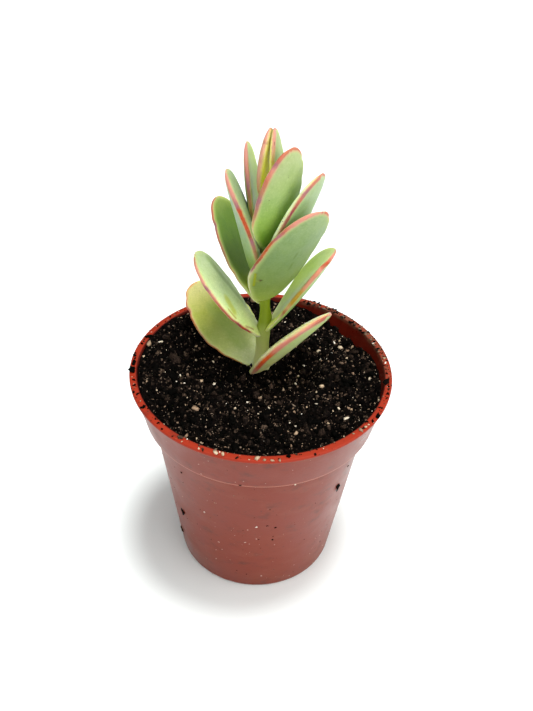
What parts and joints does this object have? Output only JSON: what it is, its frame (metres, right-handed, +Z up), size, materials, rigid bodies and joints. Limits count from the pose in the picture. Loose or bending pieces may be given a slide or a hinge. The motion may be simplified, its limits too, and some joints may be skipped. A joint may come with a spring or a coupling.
{
  "type": "potted kalanchoe",
  "caption": "Small upright kalanchoe with paired fleshy leaves with pink margins, standing in dark potting soil in a round tapered terracotta-coloured plastic nursery pot.",
  "frame": {"origin": "centre of the pot's foot, on the surface that it stands on", "axes": "+Z up along the pot's axis and the stem; -Y is the plant's front, towards which the stem leans a little; +X is to the right seen from the front"},
  "size_m": [0.06, 0.06, 0.1123],
  "materials": {
    "terracotta_plastic": "thin moulded polypropylene, terracotta red, semi-matt, dusty with dried soil",
    "potting_soil": "moist black peat mix with pale mineral grit, crumbly and matt",
    "kalanchoe_stem": "smooth fleshy yellow-green skin, satin",
    "kalanchoe_leaf": "fleshy leaf skin with a pale waxy bloom and pink to orange-red margins, satin",
    "kalanchoe_root": "cream-coloured fibrous root, matt"
  },
  "bodies": {
    "root": {"pot": "terracotta_plastic", "potting_soil": "potting_soil", "stem": "kalanchoe_stem", "roots": "kalanchoe_root", "leaf_1_left": "kalanchoe_leaf", "leaf_1_right": "kalanchoe_leaf", "leaf_2_left": "kalanchoe_leaf", "leaf_2_right": "kalanchoe_leaf", "leaf_3_front": "kalanchoe_leaf", "leaf_3_back": "kalanchoe_leaf", "leaf_4_left": "kalanchoe_leaf", "leaf_4_right": "kalanchoe_leaf", "leaf_5_front": "kalanchoe_leaf", "leaf_5_back": "kalanchoe_leaf", "leaf_6_left": "kalanchoe_leaf", "leaf_6_right": "kalanchoe_leaf"}
  },
  "joints": []
}
